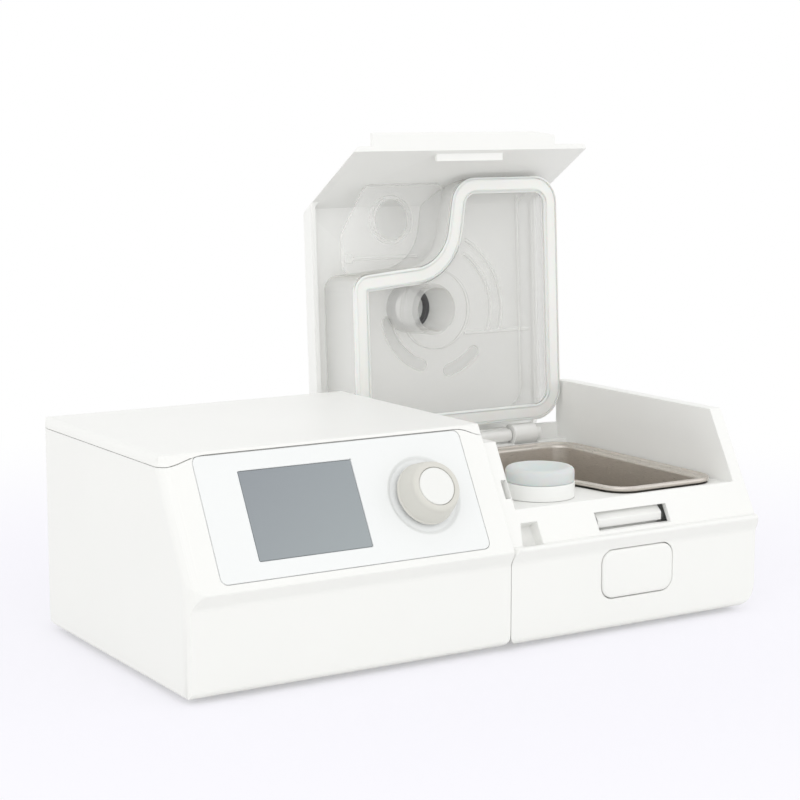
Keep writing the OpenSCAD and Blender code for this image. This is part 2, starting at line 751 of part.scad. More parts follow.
module dc_jack() color("#2c2d30") {
    r = jack_w / 2 - fit_gap;
    difference() {
        union() {
            bar(jack_x - r, board_y1 - 6, board_z + pcb_t + seat, jack_x + r, board_y1, jack_z + r);
            bar(jack_x - r, board_y1 - 6, jack_z - r, jack_x + r, depth - 0.4, jack_z + r);
        }
        translate([jack_x, depth - 10, jack_z]) rotate([-90, 0, 0]) cylinder(r = 3.2, h = 12);
    }
    translate([jack_x, depth - 10.5, jack_z]) rotate([-90, 0, 0]) cylinder(r = 1, h = 8.5);
}

// ---- Humidifier: shells ----

module bay_2d(d = 0) {
    outline(bay_pts, bay_radii, d);
}
// What stands above the deck: two side walls and the ledge, set back behind the lid's panel
module hum_upper() {
    behind = panel_recess;
    intersection() {
        hum_form(hum_x, total_w);
        // Cut back under the lid's panel and its back wall
        along_x(hum_x - 1, total_w + 1) polygon([[face_y(panel_z - fit_gap, behind), 0],
            [depth - wall - fit_gap, 0], [depth - wall - fit_gap, side_z],
            [face_y(side_z, behind), side_z],
            [face_y(panel_z - fit_gap, behind), panel_z - fit_gap]]);
        union() {
            bar(hum_x, -5, deck_z - 5, hum_x + divider_t, depth, divider_z);
            bar(total_w - side_t, -5, deck_z - 5, total_w, depth, side_z);
            along_x(hum_x, total_w) polygon([[-5, 30], [face_y(ledge_z, behind) + 2, 30],
                [face_y(ledge_z, behind) + 2, ledge_z], [-5, ledge_z]]);
            bar(hum_x, -5, 30, total_w, depth, deck_z);
            bar(hum_x, bay_back + 1, 30, total_w, depth, back_deck_z);
        }
    }
}
// What lies below the lip, and the fence behind the hinge
module hum_lower() {
    intersection() {
        hum_form(hum_x, total_w);
        union() {
            bar(hum_x, -5, 0, total_w, depth + 1, panel_z - fit_gap);
            bar(hum_x, depth - wall - 2, 0, total_w, depth + 1, fence_z);
        }
    }
}
module hinge_axis_cylinder(x0, x1, r) {
    translate([x0, hinge_y, hinge_z]) rotate([0, 90, 0]) cylinder(r = r, h = x1 - x0);
}
rod_x0 = knuckle_x[0] - 4;
rod_x1 = knuckle_x[1] + knuckle_w + 4;
// Fixed barrels of the hinge, between and outside the lid's knuckles
module hinge_barrels() {
    spans = [[rod_x0, knuckle_x[0] - knuckle_gap],
        [knuckle_x[0] + knuckle_w + knuckle_gap, knuckle_x[1] - knuckle_gap],
        [knuckle_x[1] + knuckle_w + knuckle_gap, rod_x1]];
    for (s = spans) {
        hinge_axis_cylinder(s[0], s[1], barrel_r);
        bar(s[0], hinge_y + 0.5, back_deck_z - eps, s[1], depth - 1, hinge_z);
    }
}
pocket_deep = 6;
module pocket_2d(d = 0) {
    outline([[hum_x + 6.2, 2.2], [hum_x + 17, 2.2], [hum_x + 17, 13], [hum_x + 8.5, 13]],
        [0.5, 0.5, 0.5, 0.5], d);
}
module catch_hole() {
    bar(button_x - catch_w / 2, -5, catch_z0, button_x + catch_w / 2, slider_back + button_push + 1,
        catch_z1);
}
module humidifier_housing() color(white) {
    difference() {
        union() {
            difference() {
                union() {
                    hum_upper();
                    hum_lower();
                }
                // The hollow underneath, round the well of the tank
                difference() {
                    intersection() {
                        hum_form(hum_x, total_w, wall, panel_recess);
                        bar(hum_x, 0, 0, total_w, depth, deck_z - wall);
                    }
                    along_z(well_floor_z - wall, deck_z) bay_2d(well_in - well_wall);
                }
                base_hole(hum_x, total_w);
            }
            hinge_barrels();
            intersection() {
                hum_form(hum_x, total_w, 0, panel_recess);
                on_face() along_z(-panel_recess - pocket_deep - wall, 0) pocket_2d(-wall);
            }
        }
        // The well and the heater's window in its floor
        along_z(well_floor_z, top_z) bay_2d(well_in);
        along_z(0, top_z) bay_2d(heater_in - fit_gap);
        // Room for the rolled rim beside the raised back deck
        along_z(deck_z, top_z) bay_2d(rim_in - 0.6);
        // The port's neck through the deck
        translate([port_x, port_y, deck_z - wall - 1]) cylinder(r = neck_r + fit_gap, h = 10);
        // Air from the main unit
        translate([hum_x - 1, port_y, duct_z]) rotate([0, 90, 0])
            cylinder(r = duct_r + 1, h = wall + 2);
        // The release button's window, the catch's hole and its room
        along_y(-1, wall + 1) button_2d(-0.35);
        catch_hole();
        // The keying pocket at the left end of the ledge and the slot in the strip
        on_face() along_z(-panel_recess - pocket_deep, 1) pocket_2d();
        on_face() along_z(-panel_recess - 5, 1)
            plate_2d(hum_x + 4.4, 24.5, hum_x + 7.2, 33.2, 0.4);
        // Slots for the knuckles, and the hinge rod's bore
        for (x = knuckle_x) bar(x - knuckle_gap, hinge_y - knuckle_r - 0.6, hinge_z - knuckle_r - 0.6,
            x + knuckle_w + knuckle_gap, depth + 1, hinge_z + 10);
        hinge_axis_cylinder(rod_x0 - 1, rod_x1 + 1, hinge_rod_r + run_gap);
    }
    bosses(hum_x, total_w, hum_bosses);
}
module humidifier_base() color(white) {
    difference() {
        union() {
            base_plate(hum_x, total_w, hum_bosses);
            // Tabs that hook over the shell's floor at the back
            for (x = [hum_x + 40, total_w - 40]) {
                plug_y = depth - base_back - base_lap - fit_gap;
                bar(x - 5, plug_y - 3, base_top - eps, x + 5, plug_y, shell_z + wall + 1.2);
                bar(x - 5, plug_y - eps, shell_z + wall + seat, x + 5, plug_y + 3,
                    shell_z + wall + 1.2);
            }
            // Seats for the heater's springs and pillars for its board
            for (p = spring_places()) translate([p[0], p[1], base_top - eps]) cylinder(r = 1.6, h = 2);
            for (x = [bay_x0 + 50, bay_x0 + 78]) translate([x, heater_board_y + 10, base_top - eps])
                cylinder(r = 2.5, h = 1);
        }
        for (k = [0 : 5])
            along_z(-1, base_top + 1) plate_2d(hum_x + 34 + 11 * k, depth - 54, hum_x + 38 + 11 * k,
                depth - 38, 1.9);
    }
}
module humidifier_feet() color(rubber) feet(hum_x, total_w);
module humidifier_screws() color(metal) screws(hum_bosses);

// ---- Humidifier: air, heat and water ----

neck_r = port_r - 2.2;
elbow_top = deck_z - wall - seat;
module docking_seal() color(rubber) {
    translate([main_w - 0.1, port_y, duct_z]) rotate([0, 90, 0])
        ring(duct_r + 0.7, air_r, wall + seam_gap - 0.3);
}
module air_elbow() color("#d9d9d4") {
    x0 = hum_x + wall + 0.1;
    difference() {
        union() {
            translate([x0, port_y, duct_z]) rotate([0, 90, 0]) cylinder(r = duct_r, h = port_x - x0);
            translate([port_x, port_y, duct_z]) sphere(r = duct_r);
            translate([port_x, port_y, duct_z]) cylinder(r = duct_r, h = elbow_top - duct_z);
            translate([x0, port_y, duct_z]) rotate([0, 90, 0]) cylinder(r = duct_r + 2, h = 2);
        }
        translate([x0 - 1, port_y, duct_z]) rotate([0, 90, 0]) cylinder(r = air_r, h = port_x - x0 + 1);
        translate([port_x, port_y, duct_z]) sphere(r = air_r);
        translate([port_x, port_y, duct_z]) cylinder(r = air_r, h = elbow_top - duct_z + 1);
    }
}
module at_port() {
    translate([port_x, port_y, 0]) children();
}
module port_ring() color(white) at_port() {
    difference() {
        union() {
            translate([0, 0, elbow_top + seat]) cylinder(r = neck_r, h = 6);
            translate([0, 0, deck_z + seat]) cylinder(r = port_r, h = port_z - deck_z - seat);
        }
        translate([0, 0, elbow_top - 1]) cylinder(r = air_r, h = 30);
        // Step that the soft cap sits in
        translate([0, 0, port_z - 2]) cylinder(r = port_r - 1.6, h = 3);
    }
}
module port_cap() color("#dfe6e6") at_port() {
    // A soft dished cap with a round shoulder and a plug in the ring
    r = port_r;
    translate([0, 0, port_z]) rotate_extrude($fn = 96) polygon(concat(
        [[0, cap_h - 3.4], [r - 6, cap_h - 2.2], [r - 3, cap_h - 1.6], [r - 3, seat],
        [r - 3, -1.9], [r - 1.7, -1.9], [r - 1.7, seat], [r - 0.2, seat]],
        [for (a = [0 : 15 : 90]) [r - 2.4 + 2.2 * cos(a), cap_h - 2.4 + 2.4 * sin(a)]],
        [[r - 4.6, cap_h - 0.3], [r - 8, cap_h - 1.2], [0, cap_h - 2.2]]));
}
module heater_plate() color(steel) {
    along_z(tank_floor_z - 3.4, tank_floor_z - fit_gap) bay_2d(heater_in);
}
function spring_places() = [for (x = [bay_x0 + 28, bay_x1 - 24]) for (y = [bay_back - 63, bay_back - 25]) [x, y]];
module heater_springs() color(metal) {
    for (p = spring_places()) translate([p[0], p[1], base_top + seat])
        spring(2.6, 0.4, tank_floor_z - 3.4 - base_top - 2 * seat, 3);
}
module heater_board() color(board) {
    y = heater_board_y;
    bar(bay_x0 + 44, y, base_top + 1 + seat, bay_x0 + 84, y + 24, base_top + 2.2);
    bar(bay_x0 + 58, y + 6, base_top + 2.2 - eps, bay_x0 + 70, y + 18, tank_floor_z - 3.4 - fit_gap);
}
module water_tank() color(steel) {
    side = rim_in + rim_w - tank_t;
    difference() {
        union() {
            // Rolled rim, side and stepped foot
            along_z(deck_z + fit_gap, rim_z - 0.6) bay_2d(rim_in);
            along_z(rim_z - 0.6 - eps, rim_z) bay_2d(rim_in + 0.6);
            along_z(tank_floor_z + 3, rim_z - 1) bay_2d(side);
            along_z(tank_floor_z, tank_floor_z + 4) bay_2d(side + 2);
        }
        along_z(tank_floor_z + 3 + tank_t, top_z) bay_2d(side + tank_t);
        along_z(tank_floor_z + tank_t, top_z) bay_2d(side + 2 + tank_t);
    }
}

// ---- Release button and latch ----

module button_2d(d = 0) {
    x0 = button_x - button_w / 2;
    z0 = button_z - button_h / 2;
    outline([[x0, z0], [x0 + button_w, z0], [x0 + button_w, z0 + button_h], [x0, z0 + button_h]],
        [6, 6, 6, 6], d);
}
module release_button() color(white) {
    face = -button_proud;
    along_y(face, face + 0.6) button_2d(0.8);
    along_y(face + 0.3, face + 0.9) button_2d(0.35);
    along_y(face + 0.6, wall + fit_gap + eps) button_2d();
    along_y(wall + fit_gap, wall + fit_gap + 1.5) button_2d(-1.2);
}
latch_spring_x = 11;
module latch_slider() color(white) {
    tongue_w = catch_w - 4;
    catch_y = hook_y + 0.4;
    along_x(button_x - tongue_w / 2, button_x + tongue_w / 2)
        polygon([[slider_y, button_z - 8], [slider_y + slider_t, button_z - 8],
            [slider_y + slider_t, lip_z - 2.5], [slider_back, lip_z - 2.5],
            [slider_back, catch_z1 - 0.4], [catch_y + 3.6, catch_z1 - 0.4],
            [catch_y, catch_z0 + 4.2], [catch_y, catch_z0 + 0.4], [slider_back - 3, catch_z0 + 0.4],
            [slider_back - 3, lip_z], [slider_y, lip_z]]);
    for (side = [-1, 1]) translate([button_x + side * latch_spring_x, slider_y + slider_t - eps,
        button_z]) rotate([-90, 0, 0]) cylinder(r = 1.5, h = 3);
}
module latch_springs() color(metal) {
    gap = bay_y + well_in - well_wall - slider_y - slider_t;
    for (side = [-1, 1]) translate([button_x + side * latch_spring_x, slider_y + slider_t + seat,
        button_z]) rotate([-90, 0, 0]) spring(2.6, 0.4, gap - 2 * seat, 4);
}

// ---- Lid, drawn shut ----

module hinge_rod() color(steel) hinge_axis_cylinder(rod_x0 + 0.3, rod_x1 - 0.3, hinge_rod_r);

// The parts of the outer form that belong to the lid: roof, front panel and back wall
module lid_zone() {
    middle = (lid_x0 + lid_x1) / 2;
    bar(lid_x0, -10, divider_z + lid_side_gap, middle, depth + 1, top_z + 1);
    bar(middle - eps, -10, side_z + lid_side_gap, lid_x1, depth + 1, top_z + 1);
    bar(lid_x0, depth - wall - eps, lid_back_z, lid_x1, depth + 1, top_z);
    intersection() {
        on_face() bar(lid_x0, -20, -wall - eps, lid_x1, 90, 1);
        bar(lid_x0, -20, panel_z, lid_x1, depth, top_z);
    }
}
// The finger flange, whose front edge falls back towards its right end
flange_x0 = lid_x0 + 11;
flange_x1 = lid_x1 - 19;
flange_run = 12;
flange_fall = 1.8;
module flange_2d() {
    back = face_y(panel_z, wall) - 0.2;
    outline([[flange_x0, -flange_out], [flange_x1 - flange_run, -flange_out],
        [flange_x1, -flange_out + flange_fall], [flange_x1, back], [flange_x0, back]],
        [0.6, 20, 0.6, 0, 0]);
}
module lid_shell() color(white) opened() {
    difference() {
        union() {
            difference() {
                intersection() {
                    hum_form(lid_x0, lid_x1);
                    lid_zone();
                }
                hum_form(lid_x0, lid_x1, wall, 0);
            }
            // Finger flange along the panel's foot, with its hook
            along_z(panel_z, panel_z + 2) flange_2d();
            bar(button_x - catch_w / 2 + 0.6, face_y(hook_z, wall) - 1, hook_z,
                button_x + catch_w / 2 - 0.6, hook_y, hook_z + 2);
            // Knuckles and the arms that carry the back wall
            for (x = knuckle_x) {
                hinge_axis_cylinder(x, x + knuckle_w, knuckle_r);
                along_x(x, x + knuckle_w) polygon([[hinge_y - 1, hinge_z], [depth - 0.4, hinge_z],
                    [depth - 0.4, lid_back_z + 8], [depth - wall - 1, lid_back_z + 8],
                    [hinge_y - 1, hinge_z + 5]]);
            }
        }
        hinge_axis_cylinder(bay_x0 - 5, bay_x1 + 5, hinge_rod_r + run_gap);
        // The outlet's seat in the roof
        translate([outlet_x, outlet_y, top_z - wall - 1]) cylinder(r = outlet_r + fit_gap, h = 10);
        // A fine groove along the finger flange
        along_z(panel_z + 1.7, panel_z + 3) plate_2d(flange_x0 + 3, -flange_out + 2.4, flange_x1 - 3,
            -flange_out + 3);
    }
}
// The clear duct that hangs inside the lid and brings the air over the water
module lid_duct() color(clear) opened() {
    corner = [[bay_x0, port_y + 26], [bay_x0, port_y + 6], [bay_x0 + 14.5, bay_y + 2],
        [port_x + 30, bay_y + 2], [port_x + 24, port_y + 24]];
    difference() {
        union() {
            // Wall under the gasket's band, cut to the lid's slope, and the face plate inside it
            intersection() {
                difference() {
                    along_z(gasket_z + gasket_t + seat, duct_top_z) bay_2d(0.6);
                    along_z(gasket_z, duct_top_z + 1) bay_2d(2.6);
                }
                hum_form(lid_x0, lid_x1, wall + fit_gap);
            }
            along_z(duct_plate_z, duct_plate_z + 1.6) bay_2d(1.4);
            difference() {
                along_z(gasket_z + gasket_t + seat, duct_plate_z + eps) bay_2d(0.6);
                along_z(gasket_z, duct_plate_z + 1) bay_2d(gasket_w - 0.8);
            }
            // Set-back plate over the air port
            intersection() {
                along_z(corner_plate_z, corner_plate_z + 1.6) outline(corner, [5, 6, 6, 4, 20]);
                hum_form(lid_x0, lid_x1, wall + fit_gap);
            }
            at_port() translate([0, 0, corner_plate_z]) cylinder(r = 12, h = 4);
            // Centre port with its proud disc, and the curved walls of the scroll round it
            translate([outlet_x, outlet_y, duct_plate_z - 1.2]) cylinder(r = 19.6, h = 3);
            translate([outlet_x, outlet_y, duct_plate_z]) cylinder(r = air_r + 1.6,
                h = duct_top_z - duct_plate_z);
            for (s = duct_scrolls) translate([outlet_x, outlet_y, duct_plate_z - duct_rib_h])
                linear_extrude(duct_rib_h + eps) slot_2d(s[0], duct_rib_t, s[1], s[2]);
            duct_rib(outlet_x + 16.2, outlet_y + 11.8, outlet_x + 56.2, outlet_y + 13.4, duct_plate_z);
            for (x = [bay_x1 - 23.5, bay_x1 - 12.5])
                duct_rib(x, bay_y + 10, x + duct_rib_t, bay_back - 10, duct_plate_z);
            // Rib along the back of the set-back plate, with a clip at its left end
            duct_rib(bay_x0 + 1, port_y + 17.4, port_x + 13, port_y + 19, corner_plate_z);
            duct_rib(bay_x0 + 1, port_y + 16, bay_x0 + 5, port_y + 20.4, corner_plate_z);
        }
        translate([outlet_x, outlet_y, gasket_z]) cylinder(r = air_r, h = 40);
        at_port() translate([0, 0, corner_plate_z - 1]) cylinder(r = 10.2, h = 10);
        // Curved slots that let the air down onto the water
        for (s = duct_slots) translate([outlet_x, outlet_y, duct_plate_z - 3])
            linear_extrude(8) round_slot_2d(s[0], duct_slot_w, s[1], s[2]);
    }
}
duct_rib_t = 1.4;
duct_rib_h = 1.6;
module duct_rib(x0, y0, x1, y1, z) {
    bar(x0, y0, z - duct_rib_h, x1, y1, z + eps);
}
// Radius, first angle and sweep of each wall of the scroll
duct_scrolls = [[32, -58, 81], [38.5, -62, 81]];
// Radius, first angle and sweep of each curved slot
duct_slots = [[28.5, 108, 62], [31.5, 45, 32]];
duct_slot_w = 6;
// Part of a ring: radius, width, first angle and sweep
module slot_2d(r, w, a0, sweep) {
    polygon(concat(
        [for (k = [0 : 10]) (r - w / 2) * [cos(a0 + sweep * k / 10), sin(a0 + sweep * k / 10)]],
        [for (k = [10 : -1 : 0]) (r + w / 2) * [cos(a0 + sweep * k / 10), sin(a0 + sweep * k / 10)]]));
}
function dir(a) = [cos(a), sin(a)];
// The same with half-round ends
module round_slot_2d(r, w, a0, sweep) {
    a1 = a0 + sweep;
    polygon(concat(
        [for (k = [0 : 10]) (r + w / 2) * dir(a0 + sweep * k / 10)],
        [for (k = [1 : 5]) r * dir(a1) + w / 2 * dir(a1 + 30 * k)],
        [for (k = [10 : -1 : 0]) (r - w / 2) * dir(a0 + sweep * k / 10)],
        [for (k = [1 : 5]) r * dir(a0) + w / 2 * dir(a0 + 180 + 30 * k)]));
}
module lid_gasket() color("#eceade") opened() {
    difference() {
        along_z(gasket_z + 0.5, gasket_z + gasket_t) bay_2d();
        along_z(gasket_z - 1, gasket_z + gasket_t + 1) bay_2d(gasket_w);
    }
    difference() {
        along_z(gasket_z, gasket_z + 0.5 + eps) bay_2d(0.7);
        along_z(gasket_z - 1, gasket_z + 2) bay_2d(gasket_w - 0.7);
    }
}
module at_outlet() {
    translate([outlet_x, outlet_y, top_z]) children();
}
module outlet_tube() color(white) opened() at_outlet() {
    difference() {
        union() {
            translate([0, 0, -wall]) cylinder(r = outlet_r, h = wall + outlet_flange_t);
            translate([0, 0, seat]) cylinder(r = outlet_flange_r, h = outlet_flange_t - seat);
            translate([0, 0, outlet_flange_t - eps]) cylinder(r = outlet_r, h = outlet_l + eps);
        }
        translate([0, 0, -wall - 1]) cylinder(r = outlet_r - outlet_t, h = 50);
    }
}
module outlet_seal() color(rubber) opened() at_outlet() {
    translate([0, 0, -wall - 4]) ring(air_r - seat, outlet_r - outlet_t, 4 - seat);
}

origin_shift() main_housing();
origin_shift() main_base();
origin_shift() main_feet();
origin_shift() main_screws();
origin_shift() top_cover();
origin_shift() fascia_panel();
origin_shift() display_window();
origin_shift() display_module();
origin_shift() control_board();
origin_shift() encoder_body();
origin_shift() encoder_plunger();
origin_shift() knob_shaft();
origin_shift() knob();
origin_shift() knob_cap();
origin_shift() blower_housing();
origin_shift() blower_cover();
origin_shift() blower_mounts();
origin_shift() motor();
origin_shift() motor_shaft();
origin_shift() impeller();
origin_shift() outlet_duct();
origin_shift() silencer_foam();
origin_shift() filter_frame();
origin_shift() air_filter();
origin_shift() filter_cap();
origin_shift() power_board();
origin_shift() dc_jack();
origin_shift() humidifier_housing();
origin_shift() humidifier_base();
origin_shift() humidifier_feet();
origin_shift() humidifier_screws();
origin_shift() docking_seal();
origin_shift() air_elbow();
origin_shift() port_ring();
origin_shift() port_cap();
origin_shift() heater_plate();
origin_shift() heater_springs();
origin_shift() heater_board();
origin_shift() water_tank();
origin_shift() release_button();
origin_shift() latch_slider();
origin_shift() latch_springs();
origin_shift() hinge_rod();
origin_shift() lid_shell();
origin_shift() lid_duct();
origin_shift() lid_gasket();
origin_shift() outlet_tube();
origin_shift() outlet_seal();
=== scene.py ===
# The looks of a bedside breathing machine with a docked humidifier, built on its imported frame.
import json
import math

import bmesh
import bpy
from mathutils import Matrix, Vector
from mathutils.kdtree import KDTree

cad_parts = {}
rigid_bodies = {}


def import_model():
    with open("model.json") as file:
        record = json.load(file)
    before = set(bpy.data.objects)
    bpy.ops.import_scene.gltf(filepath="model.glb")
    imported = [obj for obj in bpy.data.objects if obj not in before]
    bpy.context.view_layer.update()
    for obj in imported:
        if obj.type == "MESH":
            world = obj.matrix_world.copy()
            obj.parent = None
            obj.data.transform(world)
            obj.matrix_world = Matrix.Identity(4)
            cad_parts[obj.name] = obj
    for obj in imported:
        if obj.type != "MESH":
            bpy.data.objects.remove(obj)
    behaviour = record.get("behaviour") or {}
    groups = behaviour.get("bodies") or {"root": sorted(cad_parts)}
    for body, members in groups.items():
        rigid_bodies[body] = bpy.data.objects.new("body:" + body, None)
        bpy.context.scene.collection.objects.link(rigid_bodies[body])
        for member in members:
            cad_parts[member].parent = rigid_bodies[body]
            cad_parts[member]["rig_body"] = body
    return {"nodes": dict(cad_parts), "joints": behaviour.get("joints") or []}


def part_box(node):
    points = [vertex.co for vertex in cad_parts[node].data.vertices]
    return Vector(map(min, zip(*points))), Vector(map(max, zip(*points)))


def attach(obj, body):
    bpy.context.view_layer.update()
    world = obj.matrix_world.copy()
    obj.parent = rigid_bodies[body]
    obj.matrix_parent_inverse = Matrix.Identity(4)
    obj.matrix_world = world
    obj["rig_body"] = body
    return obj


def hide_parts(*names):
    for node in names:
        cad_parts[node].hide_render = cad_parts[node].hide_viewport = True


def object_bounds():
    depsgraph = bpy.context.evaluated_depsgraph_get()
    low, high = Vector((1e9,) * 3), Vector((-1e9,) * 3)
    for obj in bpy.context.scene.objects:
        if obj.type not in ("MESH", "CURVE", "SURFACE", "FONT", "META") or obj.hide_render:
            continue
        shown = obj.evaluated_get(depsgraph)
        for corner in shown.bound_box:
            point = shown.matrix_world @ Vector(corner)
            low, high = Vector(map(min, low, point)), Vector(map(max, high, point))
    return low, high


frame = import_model()
CAD_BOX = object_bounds()
SLOT_OF = {node: obj.data.materials[0].name for node, obj in frame["nodes"].items()}

MM = 0.001


# ---- Materials ----

class Graph:
    """A material's nodes, with short names for making and linking them."""

    def __init__(self, name):
        self.material = bpy.data.materials.new(name)
        self.material.use_nodes = True
        self.tree = self.material.node_tree
        self.shader = self.tree.nodes["Principled BSDF"]

    def node(self, kind, **settings):
        made = self.tree.nodes.new(kind)
        for key, value in settings.items():
            setattr(made, key, value)
        return made

    def link(self, source, target):
        self.tree.links.new(source, target)

    def place(self, scale=(1, 1, 1)):
        """Positions on the surface, in metres, stretched by scale."""
        coordinates = self.node("ShaderNodeTexCoord")
        mapping = self.node("ShaderNodeMapping")
        mapping.inputs["Scale"].default_value = scale
        self.link(coordinates.outputs["Object"], mapping.inputs["Vector"])
        return mapping.outputs["Vector"]

    def noise(self, scale, detail=3.0, stretch=(1, 1, 1), roughness=0.55):
        made = self.node("ShaderNodeTexNoise")
        made.inputs["Scale"].default_value = scale
        made.inputs["Detail"].default_value = detail
        made.inputs["Roughness"].default_value = roughness
        self.link(self.place(stretch), made.inputs["Vector"])
        return made.outputs["Fac"]

    def ramp(self, value, stops):
        made = self.node("ShaderNodeValToRGB")
        elements = made.color_ramp.elements
        while len(elements) < len(stops):
            elements.new(0.5)
        for element, (position, colour) in zip(elements, stops):
            element.position = position
            element.color = (*colour, 1)
        self.link(value, made.inputs["Fac"])
        return made.outputs["Color"]

    def spread(self, value, low, high, start=0.0, end=1.0):
        """A value that runs from start to end, spread over low to high."""
        made = self.node("ShaderNodeMapRange")
        made.inputs["From Min"].default_value = start
        made.inputs["From Max"].default_value = end
        made.inputs["To Min"].default_value = low
        made.inputs["To Max"].default_value = high
        self.link(value, made.inputs["Value"])
        return made.outputs["Result"]

    def bump(self, height, distance, strength=1.0):
        made = self.node("ShaderNodeBump")
        made.inputs["Distance"].default_value = distance
        made.inputs["Strength"].default_value = strength
        self.link(height, made.inputs["Height"])
        self.link(made.outputs["Normal"], self.shader.inputs["Normal"])

    def set(self, **values):
        for key, value in values.items():
            self.shader.inputs[key.replace("_", " ")].default_value = value


def shade(colour, factor):
    return tuple(min(1.0, c * factor) for c in colour)


def moulded(name, colour, roughness=0.42, grain=0.00003, grain_scale=2600, mottle=0.985,
            edge=0.94):
    """Moulded plastic: a faint cloudiness in its tone, painted shade in its hollows and creases, and a
    fine eroded grain.
    """
    g = Graph(name)
    cloud = g.noise(14, 2)
    body = g.ramp(cloud, [(0.3, shade(colour, mottle)), (0.7, colour)])
    # Painted shade: where pointiness finds a hollow or crease, the colour is darkened, down to edge
    # times its tone
    curvature = g.node("ShaderNodeNewGeometry")
    painted_crease_shade = g.ramp(curvature.outputs["Pointiness"], [(0.42, shade((1, 1, 1), edge)), (0.5, (1, 1, 1))])
    mix = g.node("ShaderNodeMix", data_type="RGBA", blend_type="MULTIPLY")
    mix.inputs["Factor"].default_value = 1
    g.link(body, mix.inputs["A"])
    g.link(painted_crease_shade, mix.inputs["B"])
    g.link(mix.outputs["Result"], g.shader.inputs["Base Color"])
    g.link(g.spread(g.noise(60, 4), roughness - 0.05, roughness + 0.06), g.shader.inputs["Roughness"])
    g.bump(g.noise(grain_scale, 2), grain, 0.35)
    g.set(IOR=1.47)
    return g


def plain_metal(name, colour, roughness=0.3, brushed=(1, 1, 30), strength=0.00002, metallic=1.0):
    """Metal with fine lines drawn out along one axis."""
    g = Graph(name)
    lines = g.noise(300, 3, brushed)
    g.link(g.ramp(lines, [(0.3, shade(colour, 0.86)), (0.7, colour)]), g.shader.inputs["Base Color"])
    g.link(g.spread(lines, roughness * 0.75, roughness * 1.25), g.shader.inputs["Roughness"])
    g.bump(lines, strength, 0.4)
    g.set(Metallic=metallic)
    return g


def rubber(name, colour):
    """Dull, slightly dusty rubber."""
    g = moulded(name, colour, roughness=0.7, grain=0.00005, grain_scale=1800, mottle=0.9)
    g.set(Sheen_Weight=0.15)
    return g


def foam(name, colour):
    """Open foam, with dark cells."""
    g = Graph(name)
    cells = g.node("ShaderNodeTexVoronoi")
    cells.inputs["Scale"].default_value = 900
    g.link(g.place(), cells.inputs["Vector"])
    g.link(g.ramp(cells.outputs["Distance"], [(0.1, shade(colour, 0.45)), (0.5, colour)]),
           g.shader.inputs["Base Color"])
    g.bump(cells.outputs["Distance"], 0.0004)
    g.set(Roughness=0.9)
    return g


def felt(name, colour):
    """Pressed fibres, as in a paper filter."""
    g = Graph(name)
    fibres = g.noise(700, 5, (1, 6, 1))
    g.link(g.ramp(fibres, [(0.35, shade(colour, 0.85)), (0.65, colour)]), g.shader.inputs["Base Color"])
    g.bump(fibres, 0.0002)
    g.set(Roughness=0.95, Sheen_Weight=0.3)
    return g


def circuit_board(name, colour):
    """Green lacquer over faint tracks."""
    g = Graph(name)
    tracks = g.node("ShaderNodeTexBrick", offset=0.37)
    tracks.inputs["Color1"].default_value = (*shade(colour, 0.85), 1)
    tracks.inputs["Color2"].default_value = (*colour, 1)
    tracks.inputs["Mortar"].default_value = (*shade(colour, 1.5), 1)
    tracks.inputs["Scale"].default_value = 90
    tracks.inputs["Mortar Size"].default_value = 0.012
    g.link(g.place(), tracks.inputs["Vector"])
    g.link(tracks.outputs["Color"], g.shader.inputs["Base Color"])
    g.bump(tracks.outputs["Fac"], 0.00003, 0.5)
    g.set(Roughness=0.35)
    return g


def display_glass(name, low, high):
    """A dark grey panel behind glass, a little lighter towards its lower right."""
    g = Graph(name)
    lo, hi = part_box("display_window")
    coordinates = g.node("ShaderNodeTexCoord")
    split = g.node("ShaderNodeSeparateXYZ")
    g.link(coordinates.outputs["Object"], split.inputs["Vector"])
    both = g.node("ShaderNodeMath", operation="ADD")
    g.link(g.spread(split.outputs["X"], 0, 1, lo.x, hi.x), both.inputs[0])
    g.link(g.spread(split.outputs["Z"], 0, 1, hi.z, lo.z), both.inputs[1])
    half = g.node("ShaderNodeMath", operation="MULTIPLY")
    half.inputs[1].default_value = 0.5
    g.link(both.outputs["Value"], half.inputs[0])
    g.link(g.ramp(half.outputs["Value"], [(0.05, low), (0.95, high)]), g.shader.inputs["Base Color"])
    g.link(g.spread(g.noise(40, 2), 0.3, 0.36), g.shader.inputs["Roughness"])
    g.set(IOR=1.5, Specular_IOR_Level=0.35)
    return g


def clear_plastic(name, tint, edge_tint, roughness=0.06):
    """A clear moulding: nearly unseen face on, and faintly yellow where it is seen edge on."""
    g = Graph(name)
    slant = g.node("ShaderNodeLayerWeight")
    slant.inputs["Blend"].default_value = 0.35
    g.link(g.ramp(slant.outputs["Facing"], [(0.55, tint), (0.97, edge_tint)]),
           g.shader.inputs["Base Color"])
    g.link(g.spread(slant.outputs["Facing"], 0.14, 0.62), g.shader.inputs["Alpha"])
    g.link(g.spread(g.noise(80, 3), roughness, roughness + 0.04), g.shader.inputs["Roughness"])
    g.bump(g.noise(120, 2), 0.00002, 0.3)
    g.set(IOR=1.45)
    return g


def silicone(name, colour, transmission=0.25, roughness=0.38, subsurface=0.3):
    """Soft, milky silicone that takes in a little light."""
    g = Graph(name)
    g.link(g.ramp(g.noise(30, 3), [(0.3, shade(colour, 0.97)), (0.7, colour)]),
           g.shader.inputs["Base Color"])
    g.link(g.spread(g.noise(90, 3), roughness - 0.05, roughness + 0.08), g.shader.inputs["Roughness"])
    g.bump(g.noise(900, 2), 0.00003, 0.3)
    g.set(IOR=1.41, Transmission_Weight=transmission, Subsurface_Weight=subsurface,
          Subsurface_Scale=0.004)
    return g


